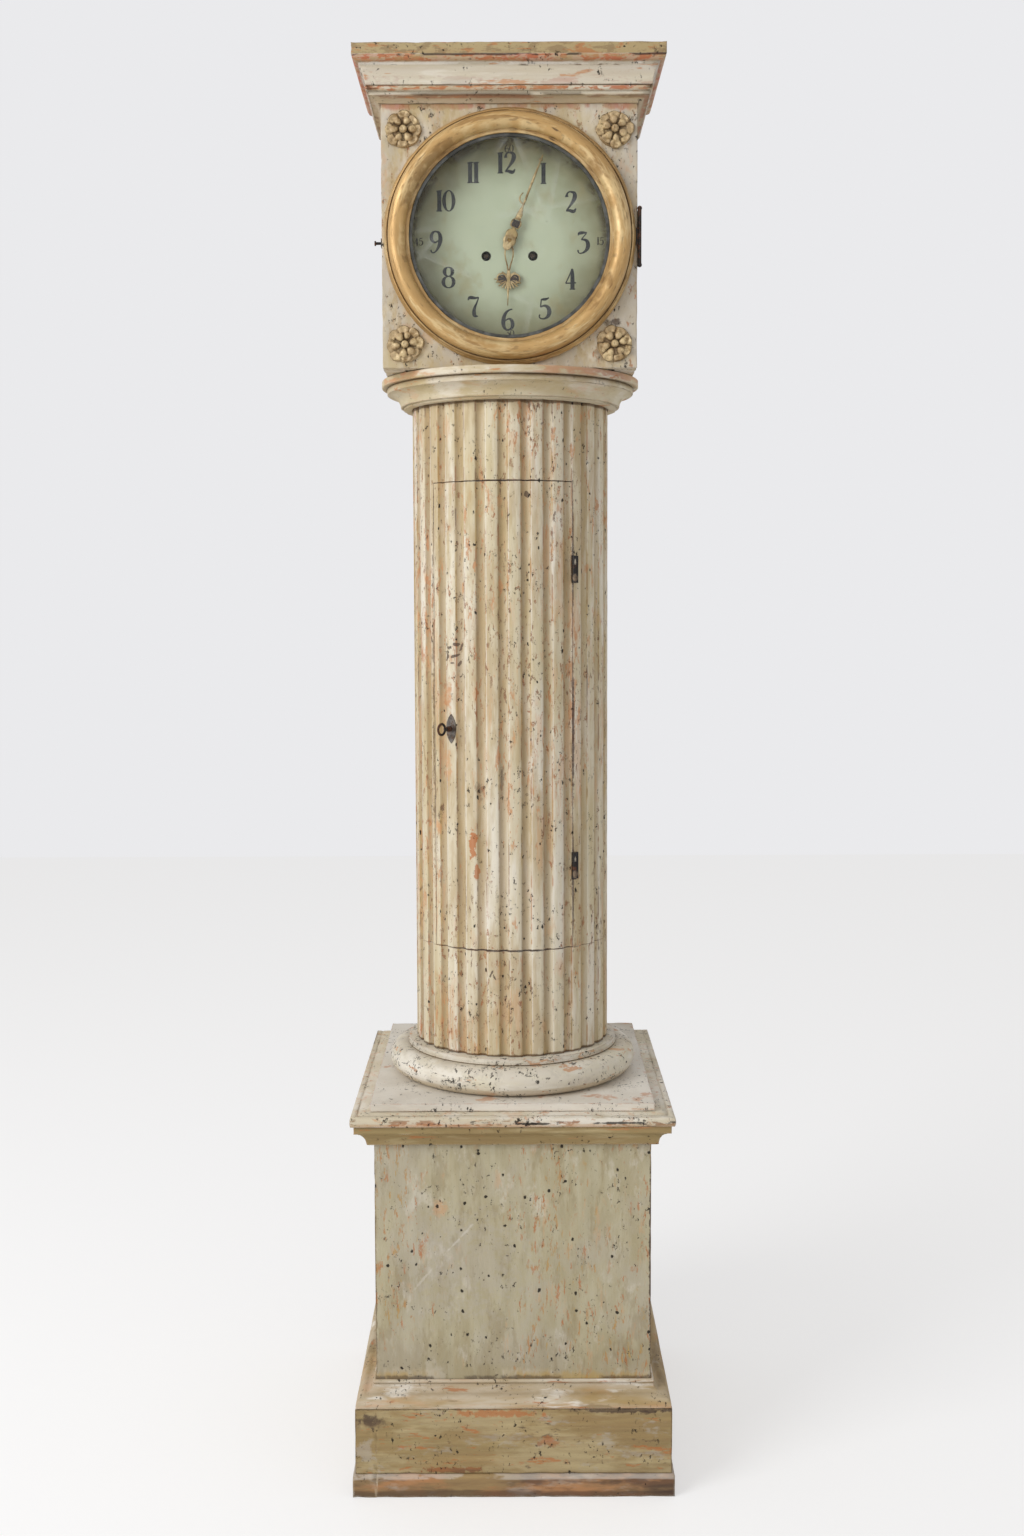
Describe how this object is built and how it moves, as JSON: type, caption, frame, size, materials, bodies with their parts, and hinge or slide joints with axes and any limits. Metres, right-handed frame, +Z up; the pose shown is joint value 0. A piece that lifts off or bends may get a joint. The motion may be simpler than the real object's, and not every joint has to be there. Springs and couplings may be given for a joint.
{
  "type": "tall case clock",
  "caption": "Tall case clock: square hood with a round glazed dial, on a fluted column with a hinged trunk door, on a square moulded pedestal.",
  "frame": {"origin": "centre of the footprint on the floor", "axes": "+Z up along the column, the dial and door face -Y, +X to the viewer's right"},
  "size_m": [0.475, 0.494, 2.1],
  "materials": {
    "plinth_paint": "worn olive paint",
    "pedestal_paint": "worn grey green paint",
    "bare_wood": "old bare pine",
    "column_paint": "worn cream paint",
    "hood_paint": "worn grey cream paint",
    "gilt_wood": "worn gilding",
    "wrought_iron": "black wrought iron",
    "dark_steel": "dark steel",
    "clear_glass": "clear old glass",
    "dial_paint": "pale green paint",
    "gilt_brass": "gilt brass",
    "brass": "aged brass",
    "steel": "bare steel",
    "weight_iron": "black cast iron",
    "gut_line": "gut line"
  },
  "bodies": {
    "case": {"plinth_strip": "plinth_paint", "plinth_band": "plinth_paint", "plinth_moulding": "plinth_paint", "pedestal_front": "pedestal_paint", "pedestal_sides": "pedestal_paint", "pedestal_back": "pedestal_paint", "pedestal_floor": "bare_wood", "cap_moulding": "pedestal_paint", "rim_board": "pedestal_paint", "raised_plate": "pedestal_paint", "column_torus": "column_paint", "column_drum": "column_paint", "column_shaft": "column_paint", "capital": "column_paint", "top_board": "bare_wood", "backboard": "bare_wood", "seat_frame": "bare_wood", "shaft_hinges": "wrought_iron", "movement_plates": "brass", "plate_pillars": "brass", "dial": "dial_paint", "pendulum_cock": "brass", "bell": "brass", "bell_stand": "steel", "going_line": "gut_line", "strike_line": "gut_line"},
    "trunk_door": {"trunk_door": "column_paint", "escutcheon": "wrought_iron", "lock_case": "wrought_iron", "door_hinges": "wrought_iron"},
    "lock_bolt": {"lock_bolt": "wrought_iron"},
    "key": {"key": "wrought_iron"},
    "hood": {"hood_front": "hood_paint", "hood_sides": "hood_paint", "hood_top": "hood_paint", "hood_cornice": "hood_paint", "rosettes": "gilt_wood", "hood_irons": "wrought_iron"},
    "latch": {"latch_pin": "wrought_iron"},
    "bezel": {"bezel_ring": "gilt_wood", "sight_ring": "dark_steel", "bezel_glass": "clear_glass", "bezel_irons": "wrought_iron"},
    "minute": {"minute_hand": "gilt_brass", "centre_wheel": "brass"},
    "hour": {"hour_hand": "gilt_brass", "hour_wheel": "brass"},
    "minute_wheel": {"minute_wheel": "brass"},
    "third_wheel": {"third_wheel": "brass"},
    "escape_wheel": {"escape_wheel": "brass"},
    "anchor": {"anchor": "steel"},
    "pendulum": {"pendulum_rod": "steel", "pendulum_bob": "brass"},
    "going_barrel": {"going_barrel": "brass"},
    "strike_barrel": {"strike_barrel": "brass"},
    "great_wheel": {"great_wheel": "brass"},
    "strike_wheel": {"strike_wheel": "brass"},
    "hammer": {"hammer": "steel"},
    "going_weight": {"going_weight": "weight_iron"},
    "strike_weight": {"strike_weight": "weight_iron"}
  },
  "joints": [
    {"name": "trunk_door_swing", "type": "hinge", "parent": "case", "child": "trunk_door", "pos_m": [0.09399, -0.13124, 1.144], "axis": [0, 0, 1], "range_deg": [0, 110]},
    {"name": "key_turn", "type": "hinge", "parent": "trunk_door", "child": "key", "pos_m": [-0.08308, -0.12219, 1.127], "axis": [-0.5934, -0.8049, 0], "range_deg": [0, 180]},
    {"name": "bolt_throw", "type": "slide", "parent": "trunk_door", "child": "lock_bolt", "axis": [-0.8049, 0.5934, 0], "range_m": [0, 0.0085]},
    {"name": "hood_slide", "type": "slide", "parent": "case", "child": "hood", "axis": [0, -1, 0], "range_m": [0, 0.2]},
    {"name": "latch_slide", "type": "slide", "parent": "hood", "child": "latch", "axis": [1, 0, 0], "range_m": [0, 0.007]},
    {"name": "bezel_swing", "type": "hinge", "parent": "hood", "child": "bezel", "pos_m": [0.1872, -0.1635, 1.838], "axis": [0, 0, 1], "range_deg": [0, 100]},
    {"name": "minute_turn", "type": "hinge", "parent": "case", "child": "minute", "pos_m": [0, -0.0665, 1.838], "axis": [0, 1, 0], "continuous": true},
    {"name": "hour_turn", "type": "hinge", "parent": "case", "child": "hour", "pos_m": [0, -0.1195, 1.838], "axis": [0, 1, 0], "continuous": true},
    {"name": "minute_wheel_turn", "type": "hinge", "parent": "case", "child": "minute_wheel", "pos_m": [-0.0216, -0.1015, 1.838], "axis": [0, 1, 0], "continuous": true},
    {"name": "third_turn", "type": "hinge", "parent": "case", "child": "third_wheel", "pos_m": [0.01448, -0.0665, 1.85863], "axis": [0, 1, 0], "continuous": true},
    {"name": "escape_turn", "type": "hinge", "parent": "case", "child": "escape_wheel", "pos_m": [0, -0.0665, 1.873], "axis": [0, 1, 0], "continuous": true},
    {"name": "great_turn", "type": "hinge", "parent": "case", "child": "great_wheel", "pos_m": [0.034, -0.052, 1.817], "axis": [0, 1, 0], "continuous": true},
    {"name": "strike_turn", "type": "hinge", "parent": "case", "child": "strike_wheel", "pos_m": [-0.034, -0.058, 1.817], "axis": [0, 1, 0], "continuous": true},
    {"name": "hammer_lift", "type": "hinge", "parent": "case", "child": "hammer", "pos_m": [-0.044, -0.0665, 1.885], "axis": [0, -1, 0], "range_deg": [0, 12], "stiffness_Nm_per_rad": 0.2, "springref_deg": -11.46},
    {"name": "pendulum_swing", "type": "hinge", "parent": "case", "child": "pendulum", "pos_m": [0, -0.0215, 1.9], "axis": [0, 1, 0], "range_deg": [-3, 3]},
    {"name": "anchor_rock", "type": "hinge", "parent": "case", "child": "anchor", "pos_m": [0, -0.0665, 1.9], "axis": [0, 1, 0], "range_deg": [-3, 3]},
    {"name": "going_wind", "type": "hinge", "parent": "case", "child": "going_barrel", "pos_m": [0.034, -0.0765, 1.817], "axis": [0, 1, 0], "range_deg": [0, 4300]},
    {"name": "strike_wind", "type": "hinge", "parent": "case", "child": "strike_barrel", "pos_m": [-0.034, -0.0765, 1.817], "axis": [0, 1, 0], "range_deg": [0, 4300]},
    {"name": "going_weight_lift", "type": "slide", "parent": "case", "child": "going_weight", "axis": [0, 0, 1], "range_m": [0, 0.56], "deforming": ["going_line"]},
    {"name": "strike_weight_lift", "type": "slide", "parent": "case", "child": "strike_weight", "axis": [0, 0, 1], "range_m": [0, 0.56], "deforming": ["strike_line"]}
  ],
  "couplings": [
    {"joint": "bolt_throw", "follows": "key_turn", "m_per_rad": 0.0025465},
    {"joint": "hour_turn", "follows": "minute_turn", "ratio": 0.083333},
    {"joint": "minute_wheel_turn", "follows": "minute_turn", "ratio": -0.33333},
    {"joint": "third_turn", "follows": "minute_turn", "ratio": -8},
    {"joint": "escape_turn", "follows": "minute_turn", "ratio": 60},
    {"joint": "great_turn", "follows": "minute_turn", "ratio": -0.083333},
    {"joint": "anchor_rock", "follows": "pendulum_swing", "ratio": 1},
    {"joint": "going_weight_lift", "follows": "going_wind", "m_per_rad": 0.0074618},
    {"joint": "strike_weight_lift", "follows": "strike_wind", "m_per_rad": 0.0074618}
  ]
}
